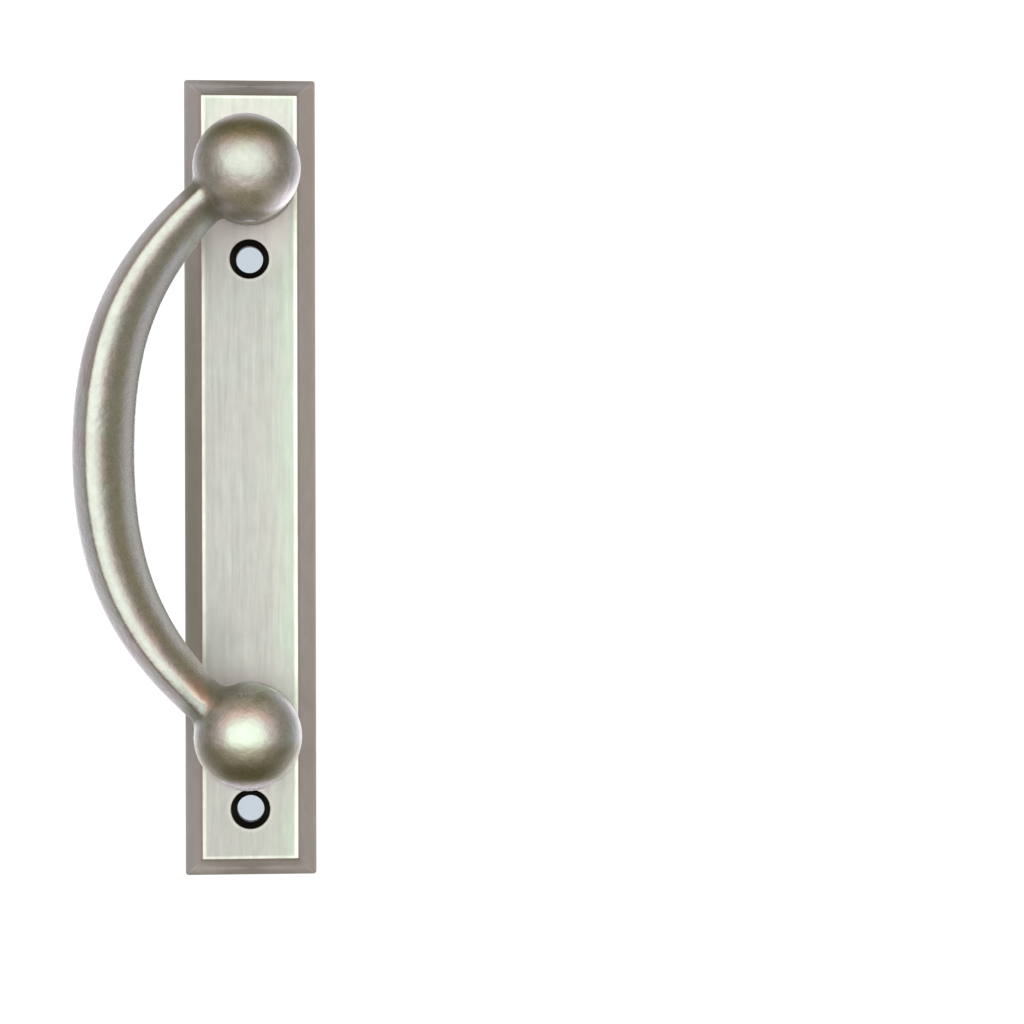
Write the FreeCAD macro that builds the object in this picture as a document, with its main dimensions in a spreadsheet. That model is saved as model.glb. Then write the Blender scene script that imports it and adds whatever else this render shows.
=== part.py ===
import FreeCAD, Part
import math
import os

# Pull handle for a sliding patio door: a long bevelled back plate and a one-piece cast bow pull with a ball at each
# end, held to the plate by two countersunk screws from behind.
# Millimetres. +Z is up along the plate, +X to the right seen from the front, the front faces -Y.
# The origin is the middle of the plate's flat back face, which lies on the door in the plane Y = 0.

doc = FreeCAD.newDocument("patio_door_handle")
V = FreeCAD.Vector

# ----------------------------------------------------------------------------------------------- dimensions
sheet = doc.addObject("Spreadsheet::Sheet", "dims")
DIMS = [
    # back plate
    ("plate_width", 39.7),
    ("plate_height", 242.4),
    ("plate_thick", 6.35),
    ("bevel_width", 5.45),
    ("edge_land", 0.9),
    ("outer_corner_rad", 0.9),
    ("face_corner_rad", 0.45),
    ("face_edge_soft", 0.3),
    ("rim_edge_soft", 0.25),
    # the two holes for the door screws, countersunk from the front
    ("door_hole_dia", 8.2),
    ("door_sink_dia", 12.1),
    ("door_hole_top", 66.2),
    ("door_hole_bottom", -100.7),
    # the two holes for the screws that hold the pull, countersunk from the back
    ("fix_hole_dia", 6.4),
    ("fix_sink_dia", 12.0),
    # bow pull
    ("ball_dia", 31.75),
    ("ball_height", 30.0),
    ("pull_middle", 7.1),
    ("ball_spacing", 167.4),
    ("foot_dia", 28.9),
    ("foot_round", 0.9),
    ("neck_dia", 25.4),
    ("neck_blend", 1.6),
    ("bow_blend", 4.4),
    ("bow_apex", 42.0),
    ("tap_dia", 6.05),
    ("tap_depth", 14.0),
    # fixing screw
    ("screw_dia", 6.0),
    ("screw_head_dia", 11.7),
    ("screw_sunk", 0.15),
    ("screw_length", 17.0),
    ("screw_tip", 0.8),
    ("socket_flats", 4.0),
    ("socket_depth", 2.0),
]
# Stations of the bow, counted from its middle towards a ball: rise along the plate, how far the centre line has
# come back towards the plate, width of the section, the turn of the section plane, and how far the crest moves from the
# outer side towards the middle of the section.
STATIONS = [
    (0.000, 0.000, 18.15, 0.000, 0.000),
    (9.838, 0.300, 18.06, 3.551, 0.003),
    (19.637, 1.262, 17.79, 7.840, 0.008),
    (29.321, 3.054, 17.38, 13.353, 0.015),
    (38.765, 5.873, 16.81, 20.050, 0.024),
    (47.793, 9.828, 16.10, 27.279, 0.033),
    (56.262, 14.869, 15.25, 34.117, 0.044),
    (64.118, 20.813, 14.34, 39.885, 0.055),
    (71.409, 27.430, 13.40, 44.330, 0.067),
    (78.246, 34.509, 12.52, 47.460, 0.080),
]
for k, (rise, back, wide, turn, crest) in enumerate(STATIONS):
    DIMS += [("st%d_rise" % k + "_mm", rise), ("st%d_back" % k + "_mm", back),
             ("st%d_wide" % k + "_mm", wide), ("st%d_turn" % k + "_deg", turn), ("st%d_crest" % k, crest)]
# Outline of the bow's section for a half width of 1: across (outer side negative) and front (positive). A steep outer
# side turns quickly into a narrow crest, which stands nearer that side, and a long rounded slope falls from the crest
# to the inner side, where the fingers go.
OUTLINE = [
    (-0.304, 1.100), (-0.406, 1.090), (-0.480, 1.062), (-0.552, 0.990), (-0.685, 0.776), (-0.806, 0.538),
    (-0.925, 0.240), (-1.000, -0.080), (-0.945, -0.460), (-0.760, -0.790), (-0.420, -0.970), (0.000, -1.020),
    (0.420, -0.995), (0.720, -0.900), (0.905, -0.735), (0.960, -0.530), (0.893, -0.240), (0.802, -0.035),
    (0.714, 0.131), (0.627, 0.282), (0.539, 0.421), (0.449, 0.548), (0.360, 0.667), (0.269, 0.776),
    (0.177, 0.871), (0.083, 0.950), (-0.012, 1.011), (-0.108, 1.056), (-0.206, 1.086),
]
for k, (a, b) in enumerate(OUTLINE):
    DIMS += [("outline%d_across" % k, a), ("outline%d_front" % k, b)]
for row, (name, value) in enumerate(DIMS, start=1):
    sheet.set("A%d" % row, name)
    sheet.set("B%d" % row, repr(float(value)))
    sheet.setAlias("B%d" % row, name)
doc.recompute()


def val(name):
    return float(getattr(sheet, name))


def bind(obj, prop, expression):
    obj.setExpression(prop, expression)


def plane(body, role):
    for f in body.Origin.OriginFeatures:
        if f.Role == role:
            return f
    raise RuntimeError("no plane " + role)


def new_body(label):
    body = doc.addObject("PartDesign::Body", label)
    body.Label = label
    body.Placement = FreeCAD.Placement(V(0, 0, 0), FreeCAD.Rotation())
    return body


def new_sketch(body, name, role, offset=None, offset_expr=None):
    sk = body.newObject("Sketcher::SketchObject", name)
    sk.AttachmentSupport = [(plane(body, role), "")]
    sk.MapMode = "FlatFace"
    if offset is not None:
        sk.AttachmentOffset = offset
    if offset_expr:
        for path, expr in offset_expr.items():
            bind(sk, "AttachmentOffset." + path, expr)
    return sk


def line(sk, x0, y0, x1, y1):
    return sk.addGeometry(Part.LineSegment(V(x0, y0, 0), V(x1, y1, 0)), False)


def con(sk, *args):
    import Sketcher
    return sk.addConstraint(Sketcher.Constraint(*args))


def dim(sk, name, expression, *args):
    k = con(sk, *args)
    sk.renameConstraint(k, name)
    bind(sk, "Constraints." + name, expression)
    return k


def rounded_rectangle(sk, width, height, rad, w_expr, h_expr, r_expr):
    """A rectangle about the sketch origin with four equal corner arcs."""
    a, b, r = width / 2, height / 2, rad
    bottom = line(sk, -a + r, -b, a - r, -b)
    right = line(sk, a, -b + r, a, b - r)
    top = line(sk, a - r, b, -a + r, b)
    left = line(sk, -a, b - r, -a, -b + r)
    arcs = []
    for cx, cy, t0 in ((a - r, -b + r, -90), (a - r, b - r, 0), (-a + r, b - r, 90), (-a + r, -b + r, 180)):
        c = Part.Circle(V(cx, cy, 0), V(0, 0, 1), r)
        arcs.append(sk.addGeometry(Part.ArcOfCircle(c, math.radians(t0), math.radians(t0 + 90)), False))
    br, tr, tl, bl = arcs
    for before, arc, after in ((bottom, br, right), (right, tr, top), (top, tl, left), (left, bl, bottom)):
        con(sk, "Tangent", before, 2, arc, 1)
        con(sk, "Tangent", arc, 2, after, 1)
    for g in (bottom, top):
        con(sk, "Horizontal", g)
    for g in (right, left):
        con(sk, "Vertical", g)
    for g in (tr, tl, bl):
        con(sk, "Equal", br, g)
    con(sk, "Symmetric", br, 3, tl, 3, -1, 1)
    dim(sk, "corner", r_expr, "Radius", br, r)
    dim(sk, "across", w_expr, "DistanceX", left, 1, right, 1, width)
    dim(sk, "along", h_expr, "DistanceY", bottom, 1, top, 1, height)


def edges_where(shape, test):
    return ["Edge%d" % (k + 1) for k, e in enumerate(shape.Edges) if test(e)]


def box_of(e):
    return e.BoundBox


def axis_edge(sk, z):
    """The profile's own edge that lies on the axis of turning, at height z."""
    doc.recompute()
    for k, e in enumerate(sk.Shape.Edges):
        if len(e.Vertexes) == 2 and all(abs(v.Z - z) < 1e-6 for v in e.Vertexes):
            return (sk, ["Edge%d" % (k + 1)])
    raise RuntimeError(sk.Name + " has no edge on its axis")


# ----------------------------------------------------------------------------------------------- back plate
plate = new_body("back_plate")
W, H, T = val("plate_width"), val("plate_height"), val("plate_thick")
land, bevel = val("edge_land"), val("bevel_width")

outer = new_sketch(plate, "plate_outline", "XZ_Plane")
rounded_rectangle(outer, W, H, val("outer_corner_rad"), "dims.plate_width", "dims.plate_height",
                  "dims.outer_corner_rad")
rim = plate.newObject("PartDesign::Pad", "plate_rim")
rim.Profile = outer
bind(rim, "Length", "dims.edge_land")
doc.recompute()

low = new_sketch(plate, "bevel_foot", "XZ_Plane", FreeCAD.Placement(V(0, 0, land), FreeCAD.Rotation()),
                 {"Base.z": "dims.edge_land"})
rounded_rectangle(low, W, H, val("outer_corner_rad"), "dims.plate_width", "dims.plate_height",
                  "dims.outer_corner_rad")
high = new_sketch(plate, "bevel_head", "XZ_Plane", FreeCAD.Placement(V(0, 0, T), FreeCAD.Rotation()),
                  {"Base.z": "dims.plate_thick"})
rounded_rectangle(high, W - 2 * bevel, H - 2 * bevel, val("face_corner_rad"),
                  "dims.plate_width - 2 * dims.bevel_width", "dims.plate_height - 2 * dims.bevel_width",
                  "dims.face_corner_rad")
doc.recompute()
slope = plate.newObject("PartDesign::AdditiveLoft", "plate_bevel")
slope.Profile = low
slope.Sections = [high]
slope.Ruled = True
doc.recompute()

# The face's edge, the rim and the back edge are a little soft, as on a buffed casting.
soft_face = plate.newObject("PartDesign::Fillet", "face_edge")
soft_face.Base = (slope, edges_where(slope.Shape, lambda e: abs(box_of(e).YMin + T) < 1e-4 and abs(box_of(e).YMax + T) < 1e-4))
bind(soft_face, "Radius", "dims.face_edge_soft")
doc.recompute()
soft_rim = plate.newObject("PartDesign::Fillet", "rim_edges")
soft_rim.Base = (soft_face, edges_where(soft_face.Shape, lambda e: (abs(box_of(e).YMin) < 1e-4 and abs(box_of(e).YMax) < 1e-4)
                                        or (abs(box_of(e).YMin + land) < 1e-4 and abs(box_of(e).YMax + land) < 1e-4)))
bind(soft_rim, "Radius", "dims.rim_edge_soft")
doc.recompute()


def hole_row(body, name, spots, front, through, sink, sink_depth_expr):
    """Countersunk through holes: a straight bore and a cone, each cut from a sketch of its own."""
    base = body.Tip
    before = base.Shape.Volume
    y0 = T if front else 0.0
    expr = {"Base.z": "dims.plate_thick"} if front else None
    bore = new_sketch(body, name + "_bore", "XZ_Plane", FreeCAD.Placement(V(0, 0, y0), FreeCAD.Rotation()), expr)
    for k, (z, z_expr) in enumerate(spots):
        c = bore.addGeometry(Part.Circle(V(0, z, 0), V(0, 0, 1), val(through) / 2), False)
        con(bore, "PointOnObject", c, 3, -2)
        dim(bore, "spot%d" % k, z_expr, "DistanceY", -1, 1, c, 3, z)
        dim(bore, "size%d" % k, "dims." + through, "Diameter", c, val(through))
    cut = body.newObject("PartDesign::Pocket", name + "_through")
    cut.Profile = bore
    cut.Type = "ThroughAll"
    cut.Midplane = True
    doc.recompute()
    after = cut.Shape.Volume
    if not after < before - 1:
        raise RuntimeError(name + " cuts nothing")
    # the cone, turned about the hole's axis
    for k, (z, z_expr) in enumerate(spots):
        before = body.Tip.Shape.Volume
        r_out, r_in = val(sink) / 2, val(through) / 2
        depth = r_out - r_in
        sk = new_sketch(body, "%s_cone_%d" % (name, k), "YZ_Plane")
        ys = -T if front else 0.0
        inward = 1 if front else -1
        p = [(ys, z), (ys, z + r_out), (ys + inward * depth, z + r_in), (ys + inward * depth, z)]
        g = [line(sk, *p[i], *p[(i + 1) % 4]) for i in range(4)]
        for i in range(4):
            con(sk, "Coincident", g[i], 2, g[(i + 1) % 4], 1)
        con(sk, "Vertical", g[0])
        con(sk, "Vertical", g[2])
        con(sk, "Horizontal", g[3])
        dim(sk, "at", z_expr, "DistanceY", -1, 1, g[0], 1, z)
        if front:
            dim(sk, "face", "dims.plate_thick", "DistanceX", g[0], 1, -1, 1, T)
        else:
            con(sk, "PointOnObject", g[0], 1, -2)
        dim(sk, "mouth", "dims.%s / 2" % sink, "DistanceY", g[0], 1, g[0], 2, r_out)
        dim(sk, "throat", "dims.%s / 2" % through, "DistanceY", g[3], 1, g[1], 2, r_in)
        if front:
            dim(sk, "deep", "(dims.%s - dims.%s) / 2" % (sink, through), "DistanceX", g[0], 1, g[3], 1, depth)
        else:
            dim(sk, "deep", "(dims.%s - dims.%s) / 2" % (sink, through), "DistanceX", g[3], 1, g[0], 1, depth)
        turn = body.newObject("PartDesign::Groove", "%s_sink_%d" % (name, k))
        turn.Profile = sk
        turn.ReferenceAxis = axis_edge(sk, z)
        turn.Angle = 360.0
        doc.recompute()
        if not turn.Shape.Volume < before - 1:
            raise RuntimeError("%s cone %d cuts nothing" % (name, k))


hole_row(plate, "door", [(val("door_hole_top"), "dims.door_hole_top"), (val("door_hole_bottom"), "dims.door_hole_bottom")],
         True, "door_hole_dia", "door_sink_dia", None)
ball_top, ball_low = val("pull_middle") + val("ball_spacing") / 2, val("pull_middle") - val("ball_spacing") / 2
TOP, LOW = "dims.pull_middle + dims.ball_spacing / 2", "dims.pull_middle - dims.ball_spacing / 2"
hole_row(plate, "fix", [(ball_top, TOP), (ball_low, LOW)], False, "fix_hole_dia", "fix_sink_dia", None)

# ----------------------------------------------------------------------------------------------- bow pull
pull = new_body("bow_pull")
R, C = val("ball_dia") / 2, val("ball_height")
rf, rn = val("foot_dia") / 2, val("neck_dia") / 2


def ball_and_foot(name, z, z_expr):
    """Ball on its short foot, turned about an axis square to the plate."""
    sk = new_sketch(pull, name + "_profile", "YZ_Plane")
    yn = -C + math.sqrt(R * R - rn * rn)
    circle = Part.Circle(V(-C, z, 0), V(0, 0, 1), R)
    a0 = math.atan2(rn, yn + C)
    arc = sk.addGeometry(Part.ArcOfCircle(circle, a0, math.pi), False)
    neck = line(sk, yn, z + rn, -T, z + rf)
    foot = line(sk, -T, z + rf, -T, z)
    axis = line(sk, -T, z, -C - R, z)
    con(sk, "Coincident", arc, 1, neck, 1)
    con(sk, "Coincident", neck, 2, foot, 1)
    con(sk, "Coincident", foot, 2, axis, 1)
    con(sk, "Coincident", axis, 2, arc, 2)
    con(sk, "PointOnObject", arc, 3, axis)
    con(sk, "Horizontal", axis)
    con(sk, "Vertical", foot)
    dim(sk, "at", z_expr, "DistanceY", -1, 1, arc, 3, z)
    dim(sk, "ball", "dims.ball_dia / 2", "Radius", arc, R)
    dim(sk, "height", "dims.ball_height", "DistanceX", arc, 3, -1, 1, C)
    dim(sk, "face", "dims.plate_thick", "DistanceX", foot, 2, -1, 1, T)
    dim(sk, "foot", "dims.foot_dia / 2", "DistanceY", foot, 2, foot, 1, rf)
    dim(sk, "neck", "dims.neck_dia / 2", "DistanceY", axis, 1, arc, 1, rn)
    rev = pull.newObject("PartDesign::Revolution", name)
    rev.Profile = sk
    rev.ReferenceAxis = axis_edge(sk, z)
    rev.Angle = 360.0
    doc.recompute()
    return rev


upper_ball = ball_and_foot("upper_ball", ball_top, TOP)
lower_ball = ball_and_foot("lower_ball", ball_low, LOW)

# The bow: sections in planes square to its centre line, from inside one ball to inside the other.
pts = [(val("outline%d_across" % k), val("outline%d_front" % k)) for k in range(len(OUTLINE))]


def section(name, k, side):
    half = val("st%d_wide_mm" % k) / 2
    crest = val("st%d_crest" % k)
    sign = "-" if side < 0 else ""
    place = FreeCAD.Placement(
        V(-val("bow_apex") + val("st%d_back_mm" % k), -C, val("pull_middle") + side * val("st%d_rise_mm" % k)),
        FreeCAD.Rotation(V(0, 1, 0), side * val("st%d_turn_deg" % k)))
    sk = new_sketch(pull, name, "XY_Plane", place, {
        "Base.x": "dims.st%d_back_mm - dims.bow_apex" % k,
        "Base.y": "-dims.ball_height",
        "Base.z": "dims.pull_middle %s dims.st%d_rise_mm" % ("-" if side < 0 else "+", k)})
    curve = Part.BSplineCurve()
    curve.interpolate(Points=[V((a + crest * (1 - a * a)) * half, -b * half, 0) for a, b in pts], PeriodicFlag=True)
    sk.addGeometry(curve, False)
    return sk


last = len(STATIONS) - 1
order = [(k, 1) for k in range(last, 0, -1)] + [(0, 1)] + [(k, -1) for k in range(1, last + 1)]
sections = [section("bow_section_%d" % i, k, side) for i, (k, side) in enumerate(order)]
doc.recompute()
bow = pull.newObject("PartDesign::AdditiveLoft", "bow")
bow.Profile = sections[0]
bow.Sections = sections[1:]
bow.Ruled = False
doc.recompute()


def on_ball(e, z):
    """True for the closed edge where the bow leaves a ball."""
    for u in (0.1, 0.35, 0.6, 0.85):
        p = e.valueAt(e.FirstParameter + u * (e.LastParameter - e.FirstParameter))
        if abs(p.distanceToPoint(V(0, -C, z)) - R) > 1e-3:
            return False
    return e.BoundBox.XMax < -1.0


def on_neck(e):
    """True for the circle where a neck runs into its ball."""
    b = e.BoundBox
    return abs(b.YMax - b.YMin) < 1e-3 and abs(b.YMax + C - math.sqrt(R * R - rn * rn)) < 1e-3


blend_edges = edges_where(bow.Shape, lambda e: on_ball(e, ball_top) or on_ball(e, ball_low))
if not blend_edges:
    raise RuntimeError("no edge found where the bow leaves the balls")
blend = pull.newObject("PartDesign::Fillet", "bow_blend")
blend.Base = (bow, blend_edges)
bind(blend, "Radius", "dims.bow_blend")
doc.recompute()
neck_edges = edges_where(blend.Shape, on_neck)
if len(neck_edges) < 2:
    raise RuntimeError("the circles of both necks were not found")
neck_blend = pull.newObject("PartDesign::Fillet", "neck_blends")
neck_blend.Base = (blend, neck_edges)
bind(neck_blend, "Radius", "dims.neck_blend")
doc.recompute()
# the rounded edge of each foot, which leaves a narrow dark line round it on the plate
foot_edges = edges_where(neck_blend.Shape, lambda e: abs(box_of(e).YMin + T) < 1e-4 and abs(box_of(e).YMax + T) < 1e-4
                         and abs(box_of(e).XMax - rf) < 1e-3)
if len(foot_edges) < 2:
    raise RuntimeError("the edges of both feet were not found")
foot_rounds = pull.newObject("PartDesign::Fillet", "foot_rounds")
foot_rounds.Base = (neck_blend, foot_edges)
bind(foot_rounds, "Radius", "dims.foot_round")
doc.recompute()

# blind tapped holes, cut from the foot's seat towards the ball
tap_sketch = new_sketch(pull, "tap_spots", "XZ_Plane", FreeCAD.Placement(V(0, 0, T), FreeCAD.Rotation()),
                        {"Base.z": "dims.plate_thick"})
for k, (z, z_expr) in enumerate(((ball_top, TOP), (ball_low, LOW))):
    c = tap_sketch.addGeometry(Part.Circle(V(0, z, 0), V(0, 0, 1), val("tap_dia") / 2), False)
    con(tap_sketch, "PointOnObject", c, 3, -2)
    dim(tap_sketch, "spot%d" % k, z_expr, "DistanceY", -1, 1, c, 3, z)
    dim(tap_sketch, "size%d" % k, "dims.tap_dia", "Diameter", c, val("tap_dia"))
before = pull.Tip.Shape.Volume
taps = pull.newObject("PartDesign::Pocket", "tapped_holes")
taps.Profile = tap_sketch
taps.Type = "Length"
taps.Reversed = True
bind(taps, "Length", "dims.tap_depth")
doc.recompute()
gone = before - taps.Shape.Volume
want = 2 * math.pi * (val("tap_dia") / 2) ** 2 * val("tap_depth")
if abs(gone - want) > 0.02 * want:
    raise RuntimeError("tapped holes cut %.1f instead of %.1f" % (gone, want))

# ----------------------------------------------------------------------------------------------- fixing screws
def fixing_screw(label, z, z_expr):
    """Flat-head machine screw: turned blank on the hole's axis, then the hexagon socket in its head."""
    body = new_body(label)
    sk = new_sketch(body, label + "_profile", "YZ_Plane")
    rs, rh, tip = val("screw_dia") / 2, val("screw_head_dia") / 2, val("screw_tip")
    y0 = -val("screw_sunk")
    y1 = y0 - (rh - rs)
    y3 = y0 - val("screw_length")
    y2 = y3 + tip
    p = [(y0, z), (y0, z + rh), (y1, z + rs), (y2, z + rs), (y3, z + rs - tip), (y3, z)]
    g = [line(sk, *p[i], *p[(i + 1) % 6]) for i in range(6)]
    for i in range(6):
        con(sk, "Coincident", g[i], 2, g[(i + 1) % 6], 1)
    con(sk, "Vertical", g[0])
    con(sk, "Horizontal", g[2])
    con(sk, "Vertical", g[4])
    con(sk, "Horizontal", g[5])
    dim(sk, "at", z_expr, "DistanceY", -1, 1, g[0], 1, z)
    dim(sk, "sunk", "dims.screw_sunk", "DistanceX", g[0], 1, -1, 1, -y0)
    dim(sk, "head", "dims.screw_head_dia / 2", "DistanceY", g[0], 1, g[0], 2, rh)
    dim(sk, "cone", "(dims.screw_head_dia - dims.screw_dia) / 2", "DistanceX", g[1], 2, g[0], 2, rh - rs)
    dim(sk, "shank", "dims.screw_dia / 2", "DistanceY", g[5], 2, g[1], 2, rs)
    dim(sk, "length", "dims.screw_length", "DistanceX", g[5], 1, g[5], 2, val("screw_length"))
    dim(sk, "tip_x", "dims.screw_tip", "DistanceX", g[3], 2, g[2], 2, tip)
    dim(sk, "tip_y", "dims.screw_tip", "DistanceY", g[3], 2, g[2], 2, tip)
    rev = body.newObject("PartDesign::Revolution", label + "_blank")
    rev.Profile = sk
    rev.ReferenceAxis = axis_edge(sk, z)
    rev.Angle = 360.0
    doc.recompute()
    hexa = new_sketch(body, label + "_socket_outline", "XZ_Plane",
                      FreeCAD.Placement(V(0, 0, -y0), FreeCAD.Rotation()), {"Base.z": "dims.screw_sunk"})
    rad = val("socket_flats") / math.sqrt(3)
    q = [(rad * math.cos(math.radians(60 * i)), z + rad * math.sin(math.radians(60 * i))) for i in range(6)]
    circ = hexa.addGeometry(Part.Circle(V(0, z, 0), V(0, 0, 1), rad), True)
    con(hexa, "PointOnObject", circ, 3, -2)
    dim(hexa, "at", z_expr, "DistanceY", -1, 1, circ, 3, z)
    dim(hexa, "size", "dims.socket_flats * 2 / sqrt(3)", "Diameter", circ, 2 * rad)
    s = [line(hexa, *q[i], *q[(i + 1) % 6]) for i in range(6)]
    for i in range(6):
        con(hexa, "Coincident", s[i], 2, s[(i + 1) % 6], 1)
        con(hexa, "PointOnObject", s[i], 1, circ)
        if i:
            con(hexa, "Equal", s[0], s[i])
    con(hexa, "Horizontal", s[1])
    before = rev.Shape.Volume
    cut = body.newObject("PartDesign::Pocket", label + "_socket")
    cut.Profile = hexa
    cut.Type = "Length"
    cut.Reversed = True
    bind(cut, "Length", "dims.socket_depth")
    doc.recompute()
    if not cut.Shape.Volume < before - 5:
        raise RuntimeError("the socket cuts nothing")
    return body


upper_screw = fixing_screw("upper_fixing_screw", ball_top, TOP)
lower_screw = fixing_screw("lower_fixing_screw", ball_low, LOW)

# ----------------------------------------------------------------------------------------------- checks and files
doc.recompute()
for obj in doc.Objects:
    if "Invalid" in obj.State or "Error" in obj.State:
        raise RuntimeError("%s is %s" % (obj.Name, obj.State))
os.makedirs("parts", exist_ok=True)
for body in (plate, pull, upper_screw, lower_screw):
    shape = body.Shape
    if shape.isNull() or not shape.isValid() or len(shape.Solids) != 1:
        raise RuntimeError("%s has no single valid solid" % body.Label)
    shape.exportStep("parts/%s.step" % body.Label)
    b = shape.BoundBox
    print("%-20s volume %10.1f mm3  box %.2f %.2f %.2f to %.2f %.2f %.2f" % (
        body.Label, shape.Volume, b.XMin, b.YMin, b.ZMin, b.XMax, b.YMax, b.ZMax))
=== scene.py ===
import math

import bpy
from mathutils import Matrix, Vector

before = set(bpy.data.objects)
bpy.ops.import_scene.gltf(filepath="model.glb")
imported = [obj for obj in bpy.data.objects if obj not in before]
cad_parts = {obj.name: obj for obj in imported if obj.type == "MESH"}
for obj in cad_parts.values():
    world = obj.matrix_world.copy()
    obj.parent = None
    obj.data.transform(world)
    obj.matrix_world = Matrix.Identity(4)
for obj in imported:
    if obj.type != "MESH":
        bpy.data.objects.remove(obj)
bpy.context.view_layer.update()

scene = bpy.context.scene
MM = 0.001

# Sizes that the materials follow, in metres, in the object's own frame (front is -Y, up is +Z).
PLATE_HALF_WIDE = 19.85 * MM
PLATE_HALF_HIGH = 121.2 * MM
BEVEL = 5.45 * MM
FACE_HALF_WIDE = PLATE_HALF_WIDE - BEVEL
FACE_HALF_HIGH = PLATE_HALF_HIGH - BEVEL
DOOR_HOLES = (66.2 * MM, -100.7 * MM)
SINK_RAD = 6.05 * MM
BALLS = (90.8 * MM, -76.6 * MM)
BALL_OUT = -30.0 * MM
BALL_RAD = 15.875 * MM


# ---------------------------------------------------------------------------------------------------------------------
# Node helpers
# ---------------------------------------------------------------------------------------------------------------------
class Graph:
    """A few short words for building a node tree. Sockets and plain numbers can both be given as inputs."""

    def __init__(self, tree):
        self.tree = tree
        tree.nodes.clear()

    def node(self, kind, **settings):
        n = self.tree.nodes.new(kind)
        for key, value in settings.items():
            setattr(n, key, value)
        return n

    def put(self, socket, value):
        if isinstance(value, bpy.types.NodeSocket):
            self.tree.links.new(value, socket)
        else:
            socket.default_value = value

    def math(self, op, a, b=None, c=None, clamp=False):
        n = self.node("ShaderNodeMath", operation=op, use_clamp=clamp)
        for i, v in enumerate((a, b, c)):
            if v is not None:
                self.put(n.inputs[i], v)
        return n.outputs[0]

    def add(self, a, b):
        return self.math("ADD", a, b)

    def sub(self, a, b):
        return self.math("SUBTRACT", a, b)

    def mul(self, a, b):
        return self.math("MULTIPLY", a, b)

    def band(self, value, lo, hi, out_lo=0.0, out_hi=1.0, smooth=True):
        """Maps lo..hi to out_lo..out_hi, held at both ends."""
        n = self.node("ShaderNodeMapRange", clamp=True, interpolation_type="SMOOTHSTEP" if smooth else "LINEAR")
        self.put(n.inputs["Value"], value)
        n.inputs["From Min"].default_value = lo
        n.inputs["From Max"].default_value = hi
        n.inputs["To Min"].default_value = out_lo
        n.inputs["To Max"].default_value = out_hi
        return n.outputs["Result"]

    def bell(self, value, centre, width):
        """1 at centre, falling to 0 at width either side."""
        return self.band(self.math("ABSOLUTE", self.sub(value, centre)), 0.0, width, 1.0, 0.0)

    def xyz(self, vector):
        n = self.node("ShaderNodeSeparateXYZ")
        self.put(n.inputs[0], vector)
        return n.outputs

    def vec(self, x, y, z):
        n = self.node("ShaderNodeCombineXYZ")
        for i, v in enumerate((x, y, z)):
            self.put(n.inputs[i], v)
        return n.outputs[0]

    def scaled(self, vector, x, y, z):
        n = self.node("ShaderNodeVectorMath", operation="MULTIPLY")
        self.put(n.inputs[0], vector)
        n.inputs[1].default_value = (x, y, z)
        return n.outputs[0]

    def noise(self, vector, scale, detail=3.0, rough=0.5, distort=0.0):
        n = self.node("ShaderNodeTexNoise", noise_dimensions="3D")
        self.put(n.inputs["Vector"], vector)
        n.inputs["Scale"].default_value = scale
        n.inputs["Detail"].default_value = detail
        n.inputs["Roughness"].default_value = rough
        n.inputs["Distortion"].default_value = distort
        return n.outputs["Fac"]

    def ramp(self, fac, stops, interpolation="EASE"):
        n = self.node("ShaderNodeValToRGB")
        r = n.color_ramp
        r.interpolation = interpolation
        while len(r.elements) > 1:
            r.elements.remove(r.elements[-1])
        r.elements[0].position = stops[0][0]
        r.elements[0].color = (*stops[0][1], 1.0)
        for at, colour in stops[1:]:
            r.elements.new(at).color = (*colour, 1.0)
        self.put(n.inputs[0], fac)
        return n.outputs["Color"]

    def mix(self, fac, a, b, blend="MIX"):
        n = self.node("ShaderNodeMix", data_type="RGBA", blend_type=blend, clamp_factor=True)
        self.put(n.inputs["Factor"], fac)
        self.put(n.inputs[6], a if isinstance(a, bpy.types.NodeSocket) else (*a, 1.0))
        self.put(n.inputs[7], b if isinstance(b, bpy.types.NodeSocket) else (*b, 1.0))
        return n.outputs[2]

    def bump(self, height, distance, strength=1.0, normal=None):
        n = self.node("ShaderNodeBump")
        n.inputs["Strength"].default_value = strength
        n.inputs["Distance"].default_value = distance
        self.put(n.inputs["Height"], height)
        if normal is not None:
            self.put(n.inputs["Normal"], normal)
        return n.outputs["Normal"]


def material(name):
    m = bpy.data.materials.new(name)
    m.use_nodes = True
    g = Graph(m.node_tree)
    out = g.node("ShaderNodeOutputMaterial")
    bsdf = g.node("ShaderNodeBsdfPrincipled")
    bsdf.inputs["Metallic"].default_value = 1.0
    g.tree.links.new(bsdf.outputs[0], out.inputs["Surface"])
    place = g.node("ShaderNodeTexCoord").outputs["Object"]
    return m, g, bsdf, place


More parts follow.
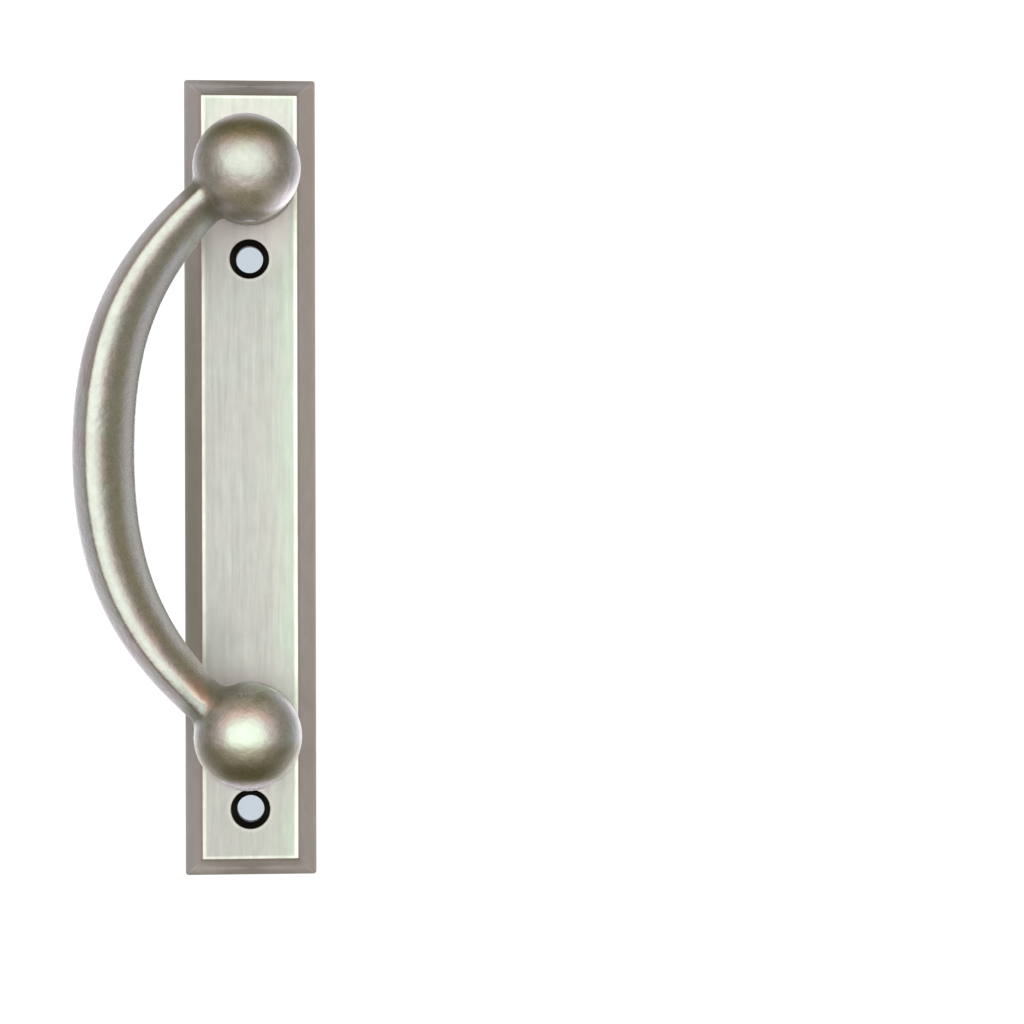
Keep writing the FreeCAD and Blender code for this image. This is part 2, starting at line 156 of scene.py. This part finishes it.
# ---------------------------------------------------------------------------------------------------------------------
# The back plate: satin nickel, brushed up and down on its face, toned darker on its bevels and in its countersinks.
# Painted light and shade on it: highlights along the edges of the face, shade in the countersinks and round the pull's
# feet, a face painted paler to the top and right, and bevels painted lighter or darker side by side
# ---------------------------------------------------------------------------------------------------------------------
def plate_nickel():
    m, g, bsdf, place = material("plate_nickel")
    x, y, z = g.xyz(place)
    ax, az = g.math("ABSOLUTE", x), g.math("ABSOLUTE", z)
    outside = g.math("MAXIMUM", g.sub(ax, FACE_HALF_WIDE), g.sub(az, FACE_HALF_HIGH))  # metres past the face's edge
    face = g.band(outside, -0.00005, 0.00025, 1.0, 0.0)

    # The long strokes of the brush: three widths of streak, none of them even from end to end, and soft blotches.
    wide = g.noise(g.scaled(place, 1.0, 1.0, 0.06), 430.0, 3.0, 0.6, 0.3)
    fine = g.noise(g.scaled(place, 1.0, 1.0, 0.045), 1500.0, 3.0, 0.6)
    hair = g.noise(g.scaled(place, 1.0, 1.0, 0.03), 5200.0, 2.0, 0.5)
    cloud = g.noise(place, 62.0, 3.0, 0.55, 0.4)
    mottle = g.noise(g.scaled(place, 1.0, 1.0, 0.45), 360.0, 4.0, 0.62, 0.3)
    streak = g.add(g.add(g.mul(g.sub(wide, 0.5), 0.46), g.mul(g.sub(fine, 0.5), 0.24)), g.mul(g.sub(hair, 0.5), 0.10))
    value = g.add(g.mul(streak, face), g.add(g.mul(g.sub(cloud, 0.5), 0.22), g.mul(g.sub(mottle, 0.5), 0.34)))

    # Face tone: a faint green-white against a faint rosy grey. Painted light: the face is painted greener and paler
    # towards the right edge and the top, and is greyer towards the bottom.
    tone = g.mix(g.band(cloud, 0.36, 0.64), (0.673, 0.656, 0.650), (0.655, 0.667, 0.648))
    paler_painted_light = g.math("MAXIMUM", g.mul(g.band(x, 0.0035, 0.0135), 0.55), g.mul(g.band(z, 0.084, 0.112), 0.72))
    tone = g.mix(paler_painted_light, tone, (0.780, 0.890, 0.770))
    # Painted light: the face is painted paler and rosier next to the feet, lifting the shade the pull casts there.
    near_foot = []
    for at in BALLS:
        dz = g.sub(z, at)
        near_foot.append(g.band(g.math("SQRT", g.add(g.mul(x, x), g.mul(dz, dz))), 0.0175, 0.0300, 0.85 if at > 0 else 0.35, 0.0))
    foot_painted_light = g.mul(g.math("MAXIMUM", *near_foot), g.band(ax, 0.0105, 0.0140, 1.0, 0.25))
    tone = g.mix(foot_painted_light, tone, (0.930, 0.880, 0.885))
    # Bevel tone: darker, patchy warm grey and olive grey. Painted light and shade on top of it: the left bevel is
    # painted the darkest and most olive half way up, and both side bevels turn rosier towards their ends. The left
    # bevel has a coppery inner edge.
    patch = g.noise(g.scaled(place, 1.0, 1.0, 0.35), 95.0, 3.0, 0.5, 0.6)
    bevel_tone_and_shade = g.mix(g.band(patch, 0.40, 0.62), (0.648, 0.590, 0.590), (0.610, 0.572, 0.548))
    on_side = g.band(g.sub(g.sub(ax, FACE_HALF_WIDE), g.sub(az, FACE_HALF_HIGH)), -0.0002, 0.0002)
    on_left = g.mul(on_side, g.band(x, -0.001, 0.001, 1.0, 0.0))
    ends = g.band(g.math("ABSOLUTE", g.add(z, 0.006)), 0.030, 0.085)
    bevel_tone_and_shade = g.mix(g.mul(on_left, 0.90), bevel_tone_and_shade, g.mix(ends, (0.485, 0.490, 0.420), (0.600, 0.560, 0.580)))
    copper = g.mul(on_left, g.band(outside, 0.0004, 0.0020, 0.72, 0.0))
    bevel_tone_and_shade = g.mix(copper, bevel_tone_and_shade, (0.640, 0.510, 0.500))
    # Painted light and shade: the top bevel is painted bluer and the bottom bevel much paler.
    low_end = g.mul(g.sub(1.0, on_side), g.band(z, -0.001, 0.001, 1.0, 0.0))
    high_end = g.mul(g.sub(1.0, on_side), g.band(z, -0.001, 0.001, 0.0, 1.0))
    bevel_tone_and_shade = g.mix(g.mul(high_end, 0.85), bevel_tone_and_shade, (0.610, 0.605, 0.660))
    bevel_tone_and_shade = g.mix(g.mul(low_end, 0.90), bevel_tone_and_shade, (0.850, 0.815, 0.850))
    colour = g.mix(face, bevel_tone_and_shade, tone)

    # Painted highlight: a bright line just inside the face's long edges, brighter on the right, and, fainter, at its
    # ends.
    inset_x = g.sub(FACE_HALF_WIDE, ax)
    inset_z = g.sub(FACE_HALF_HIGH, az)
    wear_and_highlight_noise = g.band(g.noise(place, 240.0, 3.0, 0.6), 0.30, 0.62, 0.72, 1.0)
    side_line = g.mul(g.band(inset_x, 0.00050, 0.00150, 1.0, 0.0), face)
    end_line = g.mul(g.mul(g.band(inset_z, 0.00050, 0.00120, 1.0, 0.0), face), 0.55)
    right_more = g.band(x, -0.002, 0.002, 0.62, 1.0)
    edge_highlight = g.mul(g.math("MAXIMUM", g.mul(side_line, right_more), end_line), wear_and_highlight_noise)
    colour = g.mix(edge_highlight, colour, (0.985, 0.985, 0.900))
    # A thin dark seam where the bevel starts, and a worn outer rim.
    seam = g.mul(g.bell(outside, 0.00035, 0.00070), 0.28)
    colour = g.mix(seam, colour, (0.33, 0.29, 0.265))
    rim = g.mul(g.band(outside, BEVEL - 0.0010, BEVEL - 0.0003), wear_and_highlight_noise)
    colour = g.mix(g.mul(rim, 0.35), colour, (0.78, 0.76, 0.74))

    # Streaks and mottle lighten and darken the tone.
    shade = g.band(value, -0.32, 0.32, 0.80, 1.18, smooth=False)
    grey = g.vec(shade, shade, shade)
    colour = g.mix(1.0, colour, grey, "MULTIPLY")

    # The countersinks are painted nearly black: partly dark toning, partly painted shade in the recess, with a pale
    # painted highlight on the lip round them.
    rings = []
    lips = []
    for at in DOOR_HOLES:
        dz = g.sub(z, at)
        r = g.math("SQRT", g.add(g.mul(x, x), g.mul(dz, dz)))
        rings.append(g.band(r, SINK_RAD - 0.00022, SINK_RAD + 0.00005, 1.0, 0.0))
        lips.append(g.mul(g.bell(r, SINK_RAD + 0.00055, 0.00065), face))
    sunk_toning_and_shade = g.mul(g.math("MAXIMUM", *rings), g.band(y, -0.0064, -0.0061, 0.9, 1.0))
    lip_highlight = g.mul(g.math("MAXIMUM", *lips), 0.55)
    colour = g.mix(lip_highlight, colour, (0.86, 0.85, 0.82))
    colour = g.mix(sunk_toning_and_shade, colour, (0.030, 0.028, 0.024))
    # The back is plain: machined flat, never toned or rubbed.
    plain = g.band(y, -0.00035, -0.00010)
    ground = g.add(g.mul(g.noise(g.scaled(place, 0.05, 1.0, 1.0), 2600.0, 2.0, 0.5), 0.5), g.mul(cloud, 0.5))
    bare = g.mix(g.band(ground, 0.35, 0.65), (0.345, 0.338, 0.322), (0.405, 0.398, 0.380))
    colour = g.mix(plain, colour, bare)
    # Painted shade in the crevice round the pull's feet, darker where the occlusion is greater.
    ao = g.node("ShaderNodeAmbientOcclusion", samples=12, only_local=False)
    ao.inputs["Distance"].default_value = 0.0022
    crevice_shade = g.mul(g.band(ao.outputs["AO"], 0.25, 0.75, 0.75, 0.0), face)
    colour = g.mix(crevice_shade, colour, (0.130, 0.120, 0.095))
    g.put(bsdf.inputs["Base Color"], colour)

    # Roughness: brushed face, duller bevels, dull countersinks, smoother under the painted edge highlights.
    rough = g.add(g.band(fine, 0.3, 0.7, 0.52, 0.62), g.mul(g.sub(cloud, 0.5), 0.08))
    rough = g.add(g.mul(rough, face), g.mul(g.sub(1.0, face), g.band(patch, 0.35, 0.65, 0.58, 0.66)))
    rough = g.sub(rough, g.mul(edge_highlight, 0.26))
    rough = g.math("MAXIMUM", rough, g.mul(sunk_toning_and_shade, 0.62))
    rough = g.add(g.mul(rough, g.sub(1.0, plain)), g.mul(plain, g.band(ground, 0.35, 0.65, 0.44, 0.52)))
    g.put(bsdf.inputs["Roughness"], rough)
    bsdf.inputs["Anisotropic"].default_value = 0.40
    lay = g.node("ShaderNodeTangent", direction_type="RADIAL", axis="Z")
    g.put(bsdf.inputs["Tangent"], lay.outputs[0])

    # Relief: brush grooves on the face, slight orange-peel of the casting on the bevels.
    height = g.add(g.mul(g.add(g.mul(fine, 0.6), g.mul(hair, 0.4)), face),
                   g.mul(g.noise(place, 1500.0, 3.0, 0.55), g.mul(g.sub(1.0, face), 0.8)))
    g.put(bsdf.inputs["Normal"], g.bump(height, 0.00004, 0.45))
    return m


# ---------------------------------------------------------------------------------------------------------------------
# The pull: the same nickel on a fine sand casting, tumbled rather than brushed, so it is mottled, with olive tarnish
# left in the low places and a rosy tone in random patches. Much of its tone is painted light and shade by the way each
# place faces: painted highlight and reflection tints, pale painted reflections on rims, and painted shade in corners
# ---------------------------------------------------------------------------------------------------------------------
def true_ball_normal(g, place):
    """The mesh's own shading normal, except over each ball's front pole, where the exact direction from the ball's
    middle is used, because all the facets meet in one point there."""
    x, y, z = g.xyz(place)
    normal = g.node("ShaderNodeNewGeometry").outputs["Normal"]
    for at in BALLS:
        from_middle = g.vec(x, g.sub(y, BALL_OUT), g.sub(z, at))
        exact = g.node("ShaderNodeVectorMath", operation="NORMALIZE")
        g.put(exact.inputs[0], from_middle)
        dz = g.sub(z, at)
        r = g.math("SQRT", g.add(g.mul(x, x), g.mul(dz, dz)))
        near = g.mul(g.band(r, 0.0036, 0.0050, 1.0, 0.0), g.band(y, BALL_OUT - 0.0100, BALL_OUT - 0.0090, 1.0, 0.0))
        n = g.node("ShaderNodeMix", data_type="VECTOR", clamp_factor=True)
        g.put(n.inputs["Factor"], near)
        g.put(n.inputs[4], normal)
        g.put(n.inputs[5], exact.outputs[0])
        normal = n.outputs[1]
    unit = g.node("ShaderNodeVectorMath", operation="NORMALIZE")
    g.put(unit.inputs[0], normal)
    return unit.outputs[0]


def pull_nickel():
    m, g, bsdf, place = material("pull_nickel")
    grain = g.noise(place, 1250.0, 4.0, 0.60)
    lumps = g.noise(place, 400.0, 3.0, 0.55, 0.4)
    dents = g.noise(place, 205.0, 2.0, 0.45, 0.5)
    cloud = g.noise(place, 120.0, 3.0, 0.5, 0.5)
    drift = g.noise(place, 46.0, 2.0, 0.5, 0.3)

    x, y, z = g.xyz(place)
    nx, ny, nz = g.xyz(g.node("ShaderNodeNewGeometry").outputs["Normal"])
    facing = g.mul(ny, -1.0)

    # The nickel: random greenish and rosy tone, olive in the dents. Painted by the way each place faces: a greenish
    # white painted highlight tint where it faces forward, and a rosy painted reflection tint round the top of each
    # rounded place.
    tone = g.mix(g.band(cloud, 0.38, 0.62), (0.688, 0.650, 0.628), (0.655, 0.690, 0.640))
    tone = g.mix(g.mul(g.band(drift, 0.52, 0.68), 0.45), tone, (0.760, 0.620, 0.575))
    # Painted reflection tint: rosy round the top edge of the highlight on each rounded place.
    rosy_reflection_tint = g.mul(g.bell(facing, 0.845, 0.105), g.band(g.add(nz, g.mul(g.sub(cloud, 0.5), 0.5)), 0.16, 0.48))
    rosy_reflection_tint = g.mul(rosy_reflection_tint, g.band(z, -0.040, 0.040, 1.0, 0.66))
    tone = g.mix(rosy_reflection_tint, tone, (0.830, 0.620, 0.570))
    # Painted highlight tint: greener where the surface faces forward.
    tone = g.mix(g.mul(g.band(facing, 0.88, 0.97), 0.62), tone, (0.625, 0.665, 0.615))
    # Painted highlight tint on the bow's crest, less green.
    crest_highlight_tint = g.mul(g.band(facing, 0.86, 0.97), g.band(x, -0.0140, -0.0180))
    tone = g.mix(g.mul(crest_highlight_tint, 0.80), tone, (0.690, 0.700, 0.665))
    # Painted highlight: the lower ball's forward face is painted paler and greener.
    low_ball_highlight = g.mul(g.band(facing, 0.86, 0.97), g.band(z, BALLS[1] + 0.0185, BALLS[1] + 0.0145))
    tone = g.mix(g.mul(low_ball_highlight, 0.85), tone, (0.800, 0.880, 0.765))
    tone = g.mix(g.mul(g.band(dents, 0.52, 0.70), 0.45), tone, (0.585, 0.580, 0.470))

    value = g.add(g.add(g.mul(g.sub(grain, 0.5), 0.20), g.mul(g.sub(lumps, 0.5), 0.42)),
                  g.add(g.mul(g.sub(cloud, 0.5), 0.26), g.mul(g.sub(dents, 0.5), 0.20)))
    shade = g.band(value, -0.30, 0.30, 0.74, 1.20, smooth=False)
    colour = g.mix(1.0, tone, g.vec(shade, shade, shade), "MULTIPLY")

    # Olive toning and painted shade: olive painted down the bow's inner slope, over the top of the upper ball and
    # under the lower one, by the way each place faces. The flanks that face sideways carry a pale painted reflection,
    # the ball sides that face one another are painted paler as painted light, and the inner limb is painted darker as
    # painted shade.
    spread = g.mul(g.sub(drift, 0.5), 0.14)
    inward = g.add(g.mul(nx, 0.9), g.mul(nz, g.mul(g.sub(0.0071, z), 11.0)))
    slope = g.mul(g.bell(g.add(facing, spread), 0.585, 0.200), g.band(inward, 0.10, 0.40))
    off_balls = g.band(x, -0.0085, -0.0125)
    slope_toning_and_shade = g.mul(g.mul(slope, off_balls), 0.66)
    colour = g.mix(slope_toning_and_shade, colour, g.mix(g.band(z, 0.020, -0.020), (0.450, 0.440, 0.290), (0.560, 0.515, 0.345)))
    # Painted reflection: pale lavender on the inner flank that faces sideways.
    flank_reflection = g.mul(g.mul(g.bell(facing, 0.455, 0.135), g.band(inward, 0.20, 0.45)), g.band(x, -0.016, -0.020))
    colour = g.mix(g.mul(flank_reflection, 0.72), colour, (0.800, 0.775, 0.850))
    # Painted shade: darker at the inner limb.
    inner_limb_shade = g.mul(g.mul(g.band(facing, 0.42, 0.26), g.band(inward, 0.20, 0.45)), g.band(x, -0.016, -0.020))
    colour = g.mix(g.mul(inner_limb_shade, 0.80), colour, (0.440, 0.435, 0.490))
    # The outer side: a rosy painted reflection tint beside the crest, painted shade towards the edge lower down, and a
    # pale painted reflection towards the edge near the top.
    outward = g.mul(g.band(inward, -0.20, -0.45), g.band(x, -0.016, -0.020))
    colour = g.mix(g.mul(g.mul(g.bell(facing, 0.660, 0.130), outward), 0.75), colour, (0.880, 0.805, 0.880))
    outer_edge_shade = g.mul(g.mul(g.band(facing, 0.56, 0.36), outward), g.band(z, 0.054, 0.036))
    colour = g.mix(g.mul(outer_edge_shade, 0.55), colour, (0.430, 0.395, 0.385))
    outer_edge_reflection = g.mul(g.mul(g.bell(facing, 0.520, 0.260), outward), g.band(z, 0.038, 0.056))
    colour = g.mix(g.mul(outer_edge_reflection, 0.80), colour, (0.950, 0.900, 0.910))
    # Just above the lower ball, painted shade dims the crest's highlight, and a painted highlight lightens what lies
    # inside it.
    low_bow = g.mul(g.band(z, -0.0550, -0.0650), off_balls)
    crest_painted_dim = g.mul(low_bow, g.band(facing, 0.86, 0.95))
    colour = g.mix(g.mul(crest_painted_dim, 0.95), colour, g.mix(1.0, colour, (0.54, 0.52, 0.56), "MULTIPLY"))
    inside_painted_highlight = g.mul(low_bow, g.bell(inward, 0.56, 0.32))
    colour = g.mix(g.mul(inside_painted_highlight, 0.78), colour, (0.960, 0.860, 0.770))
    off_ball = []
    for at, way in ((BALLS[0], 1.0), (BALLS[1], -1.0)):
        dy, off = g.sub(y, BALL_OUT), g.sub(z, at)
        away = g.math("SQRT", g.add(g.add(g.mul(x, x), g.mul(dy, dy)), g.mul(off, off)))
        off_ball.append((away, off))
        dz = g.mul(off, way)
        on_ball = g.band(away, BALL_RAD + 0.0010, BALL_RAD + 0.0002)
        # Painted shade with olive toning over the top of the upper ball and under the lower one.
        ball_cap_toning_and_shade = g.mul(g.mul(g.bell(g.add(dz, g.mul(spread, 0.010)), 0.0099, 0.0041), on_ball), g.band(y, -0.0285, -0.0315))
        colour = g.mix(g.mul(ball_cap_toning_and_shade, 0.80 if way > 0 else 0.88), colour, (0.360, 0.345, 0.200))
        # Painted reflection: a pale rim near the limb beyond that.
        ball_limb_reflection = g.mul(g.mul(g.band(dz, 0.0115, 0.0138), on_ball), g.band(y, -0.0245, -0.0285))
        colour = g.mix(g.mul(ball_limb_reflection, 0.85 if way > 0 else 1.0), colour, (0.975, 0.925, 0.985))
        # Painted shade that cuts the highlight short, above its middle on the upper ball and below it on the lower.
        highlight_edge_shade = g.band(dz, 0.0030, 0.0072) if way > 0 else g.band(dz, -0.0006, 0.0036)
        highlight_edge_shade = g.mul(g.mul(highlight_edge_shade, on_ball), g.mul(g.band(dz, 0.0125, 0.0100), g.band(y, -0.0285, -0.0315)))
        colour = g.mix(g.mul(highlight_edge_shade, 0.40 if way > 0 else 0.84), colour, (0.430, 0.410, 0.300))
        # Painted light on the ball sides that face one another, most on the upper ball.
        bounce_light_painted = g.mul(g.mul(g.bell(dz, -0.0094, 0.0056), on_ball), g.band(x, -0.0110, -0.0070))
        colour = g.mix(g.mul(bounce_light_painted, 0.95 if way > 0 else 0.34), colour, (0.985, 0.925, 0.900))
        # Painted shade: a dark crescent at the limb on the sides that face one another, not on their right-hand part.
        limb_crescent_shade = g.mul(g.mul(g.band(dz, -0.0125, -0.0150), on_ball), g.band(x, 0.0090, 0.0050))
        colour = g.mix(g.mul(limb_crescent_shade, 0.60), colour, (0.280, 0.268, 0.225))

    # Painted shade where the bow leaves each ball, and, further down, in every corner.
    near_ball = []
    into = []
    for (away, off), way in zip(off_ball, (-1.0, 1.0)):
        near_ball.append(g.mul(g.band(away, BALL_RAD + 0.00005, BALL_RAD + 0.0007), g.band(away, 0.0235, 0.0175)))
        # the side of the ball that the bow runs into, below and above its crest
        toward = g.add(g.mul(x, -0.62), g.mul(off, 0.78 * way))
        into.append(g.mul(g.band(toward, 0.0112, 0.0148), g.band(away, 0.0200, 0.0162)))
    joint_shade = g.mul(g.math("MAXIMUM", *near_ball), g.band(g.mul(ny, -1.0), 0.93, 0.80))
    joint_shade = g.mul(joint_shade, g.band(x, -0.0010, -0.0050))
    joint_shade = g.math("MAXIMUM", joint_shade, g.mul(g.math("MAXIMUM", *into), g.band(facing, 0.70, 0.50)))
    colour = g.mix(g.mul(joint_shade, 0.66), colour, (0.235, 0.225, 0.165))
    # A coppery patch, rubbed through the toning, on the inner side of the crest just above the lower ball.
    cx, cz = g.add(x, 0.0140), g.add(z, 0.0622)
    along, across = g.sub(g.mul(cx, 0.62), g.mul(cz, 0.78)), g.add(g.mul(cx, 0.78), g.mul(cz, 0.62))
    spot = g.math("SQRT", g.add(g.mul(g.mul(along, along), 0.11), g.mul(across, across)))
    spot = g.mul(g.band(g.add(spot, g.mul(g.sub(lumps, 0.5), 0.0016)), 0.0026, 0.0003), g.band(facing, 0.30, 0.55))
    colour = g.mix(g.mul(spot, 0.66), colour, (0.860, 0.500, 0.400))
    # What faces the door is painted darker.
    away_side = g.band(ny, 0.05, 0.45)
    colour = g.mix(g.mul(away_side, 0.85), colour, g.mix(1.0, colour, (0.46, 0.45, 0.42), "MULTIPLY"))
    # Painted shade on the narrow neck and foot behind each ball.
    behind_shade = g.mul(g.band(y, -0.0170, -0.0135), g.band(x, -0.0210, -0.0180))
    colour = g.mix(g.mul(behind_shade, 0.80), colour, (0.225, 0.212, 0.178))
    # Painted shade in every corner, darker where the occlusion is greater.
    ao = g.node("ShaderNodeAmbientOcclusion", samples=12, only_local=False)
    ao.inputs["Distance"].default_value = 0.005
    corner_shade = g.band(ao.outputs["AO"], 0.32, 0.80, 0.85, 0.0)
    colour = g.mix(corner_shade, colour, (0.165, 0.152, 0.118))
    g.put(bsdf.inputs["Base Color"], colour)

    rough = g.add(g.band(grain, 0.32, 0.68, 0.25, 0.35), g.mul(g.sub(lumps, 0.5), 0.14))
    rough = g.add(rough, g.math("MAXIMUM", g.mul(corner_shade, 0.25), g.mul(joint_shade, 0.20)))
    g.put(bsdf.inputs["Roughness"], rough)

    # Relief: the slow unevenness of a hand-finished casting under the fine grain that tumbling leaves.
    slow = g.bump(g.add(dents, g.mul(lumps, 0.50)), 0.00055, 0.30, true_ball_normal(g, place))
    g.put(bsdf.inputs["Normal"], g.bump(g.add(grain, lumps), 0.00007, 0.36, slow))
    return m


# ---------------------------------------------------------------------------------------------------------------------
# The fixing screws: zinc-plated steel, turned head, slight straw tint
# ---------------------------------------------------------------------------------------------------------------------
def screw_steel():
    m, g, bsdf, place = material("screw_steel")
    x, y, z = g.xyz(place)
    grain = g.noise(place, 2600.0, 3.0, 0.55)
    cloud = g.noise(place, 420.0, 3.0, 0.5, 0.4)
    rings = []
    for at in BALLS:
        dz = g.sub(z, at)
        r = g.math("SQRT", g.add(g.mul(x, x), g.mul(dz, dz)))
        rings.append(g.math("SINE", g.mul(r, 34000.0)))
    near = g.math("GREATER_THAN", z, 0.0)
    turned = g.add(g.mul(rings[0], near), g.mul(rings[1], g.sub(1.0, near)))
    tone = g.mix(g.band(cloud, 0.35, 0.65), (0.265, 0.270, 0.280), (0.315, 0.305, 0.275))
    shade = g.band(g.add(g.mul(g.sub(grain, 0.5), 0.5), g.mul(turned, 0.05)), -0.25, 0.25, 0.84, 1.10, smooth=False)
    colour = g.mix(1.0, tone, g.vec(shade, shade, shade), "MULTIPLY")
    g.put(bsdf.inputs["Base Color"], colour)
    g.put(bsdf.inputs["Roughness"], g.band(grain, 0.3, 0.7, 0.26, 0.38))
    g.put(bsdf.inputs["Normal"], g.bump(g.add(g.mul(turned, 0.35), grain), 0.00003, 0.35))
    return m


def dress(name, mat):
    """Gives a node this material alone."""
    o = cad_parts[name]
    o.data.materials.clear()
    o.data.materials.append(mat)
    return o


plate_mat, pull_mat, screw_mat = plate_nickel(), pull_nickel(), screw_steel()
dress("back_plate", plate_mat)
dress("bow_pull", pull_mat)
dress("upper_fixing_screw", screw_mat)
dress("lower_fixing_screw", screw_mat)


# ---------------------------------------------------------------------------------------------------------------------
# Studio: a pale floor that sweeps up into pale walls, and a soft light that is broadest from the front
# ---------------------------------------------------------------------------------------------------------------------
def studio_sweep():
    """A floor, a coved corner, a wall and a domed top, turned round the upright axis, in one pale finish."""
    floor, reach, cove, top = -0.95, 3.4, 1.2, 3.6
    line = [(0.0, floor), (0.5, floor), (1.2, floor), (reach - cove, floor)]
    line += [(reach - cove + cove * math.sin(a), floor + cove - cove * math.cos(a))
             for a in [math.radians(9 * k) for k in range(1, 11)]]
    line += [(reach, 1.4)]
    line += [(reach * math.cos(a), 1.4 + (top - 1.4) * math.sin(a)) for a in [math.radians(9 * k) for k in range(1, 11)]]
    turns = 72
    points, faces = [], []
    for r, h in line:
        for k in range(turns):
            a = 2 * math.pi * k / turns
            points.append((r * math.cos(a), r * math.sin(a), h))
    for i in range(len(line) - 1):
        for k in range(turns):
            a, b = i * turns + k, i * turns + (k + 1) % turns
            faces.append((a, b, b + turns, a + turns))
    mesh = bpy.data.meshes.new("studio_sweep")
    mesh.from_pydata(points, [], faces)
    mesh.validate()
    mesh.polygons.foreach_set("use_smooth", [True] * len(mesh.polygons))
    o = bpy.data.objects.new("studio_sweep", mesh)
    scene.collection.objects.link(o)
    m = bpy.data.materials.new("studio_pale")
    m.use_nodes = True
    g = Graph(m.node_tree)
    glow = g.node("ShaderNodeEmission")
    # A shade greyer straight behind the plate, which keeps the light off it; seen only through the door-screw holes.
    x, y, z = g.xyz(g.node("ShaderNodeTexCoord").outputs["Object"])
    behind_shade = g.mul(g.band(g.math("ABSOLUTE", g.add(x, 0.100)), 0.055, 0.092, 1.0, 0.0), g.band(y, 1.0, 2.0))
    behind_shade = g.mul(behind_shade, g.band(g.math("ABSOLUTE", g.sub(z, 0.030)), 0.520, 0.580, 1.0, 0.0))
    g.put(glow.inputs["Color"], g.mix(behind_shade, (1.0, 1.0, 1.0), (0.555, 0.625, 0.690)))
    glow.inputs["Strength"].default_value = 1.05
    out = g.node("ShaderNodeOutputMaterial")
    g.tree.links.new(glow.outputs[0], out.inputs["Surface"])
    mesh.materials.append(m)
    # The walls are only the backdrop. The light itself is the sky below, so they neither block nor colour it.
    o.visible_diffuse = o.visible_glossy = o.visible_transmission = o.visible_shadow = False
    return o


def studio_light():
    """A wrap-round soft light: a broad bright panel in front, slightly high and left, dim sides, pale behind."""
    world = bpy.data.worlds.new("studio_light")
    scene.world = world
    world.use_nodes = True
    g = Graph(world.node_tree)
    direction = g.node("ShaderNodeTexCoord").outputs["Generated"]
    squashed = g.node("ShaderNodeVectorMath", operation="NORMALIZE")
    g.put(squashed.inputs[0], g.scaled(direction, 1.0, 1.0, 1.40))
    front = Vector((-0.045, -1.0, 0.15 * 1.40)).normalized()
    dot = g.node("ShaderNodeVectorMath", operation="DOT_PRODUCT")
    g.put(dot.inputs[0], squashed.outputs[0])
    dot.inputs[1].default_value = front
    angle = g.math("DIVIDE", g.math("ARCCOSINE", dot.outputs["Value"]), math.pi)
    d = 180.0
    light = g.ramp(angle, [
        (0 / d, (0.97, 1.03, 0.95)),
        (25 / d, (0.94, 0.99, 0.91)),
        (41 / d, (0.80, 0.79, 0.75)),
        (55 / d, (0.53, 0.485, 0.455)),
        (69 / d, (0.31, 0.275, 0.245)),
        (84 / d, (0.195, 0.182, 0.145)),
        (104 / d, (0.205, 0.198, 0.175)),
        (117 / d, (0.33, 0.325, 0.325)),
        (130 / d, (0.47, 0.455, 0.495)),
        (142 / d, (0.72, 0.71, 0.76)),
        (155 / d, (0.95, 0.95, 1.00)),
        (180 / d, (1.00, 1.00, 1.03)),
    ], "EASE")
    # Straight up and straight down it is dimmer and browner than to the sides, and most of all below.
    unit = g.node("ShaderNodeVectorMath", operation="NORMALIZE")
    g.put(unit.inputs[0], direction)
    up = g.xyz(unit.outputs[0])[2]
    light = g.mix(g.band(up, 0.62, 0.97, 0.0, 0.62), light, g.mix(1.0, light, (0.62, 0.56, 0.34), "MULTIPLY"))
    light = g.mix(g.band(up, -0.62, -0.97, 0.0, 0.95), light, g.mix(1.0, light, (0.58, 0.53, 0.37), "MULTIPLY"))
    back = g.node("ShaderNodeBackground")
    g.put(back.inputs["Color"], light)
    back.inputs["Strength"].default_value = 1.40
    out = g.node("ShaderNodeOutputWorld")
    g.tree.links.new(back.outputs[0], out.inputs["Surface"])
    return world


studio_sweep()
studio_light()

# ---------------------------------------------------------------------------------------------------------------------
# Camera: level, a little to the right of the plate's middle, turned 4 degrees to the right
# ---------------------------------------------------------------------------------------------------------------------
yaw, pitch, roll = 0.0711, -0.00105, -0.0022
forward = Vector((math.sin(yaw) * math.cos(pitch), math.cos(yaw) * math.cos(pitch), math.sin(pitch)))
right = Vector((math.cos(yaw), -math.sin(yaw), 0.0))
upward = right.cross(forward)
across = math.cos(roll) * right + math.sin(roll) * upward
upright = -math.sin(roll) * right + math.cos(roll) * upward
camera_data = bpy.data.cameras.new("camera")
camera_data.sensor_fit = "HORIZONTAL"
camera_data.sensor_width = 36.0
camera_data.lens = 2575.4 * 36.0 / 1024.0
camera_data.clip_start, camera_data.clip_end = 0.01, 50.0
camera = bpy.data.objects.new("camera", camera_data)
scene.collection.objects.link(camera)
camera.matrix_world = Matrix((
    (across.x, upright.x, -forward.x, 0.02380),
    (across.y, upright.y, -forward.y, -0.79099),
    (across.z, upright.z, -forward.z, -0.00989),
    (0.0, 0.0, 0.0, 1.0),
))
scene.camera = camera

scene.view_settings.view_transform = "Standard"
scene.view_settings.look = "None"

bpy.context.view_layer.update()
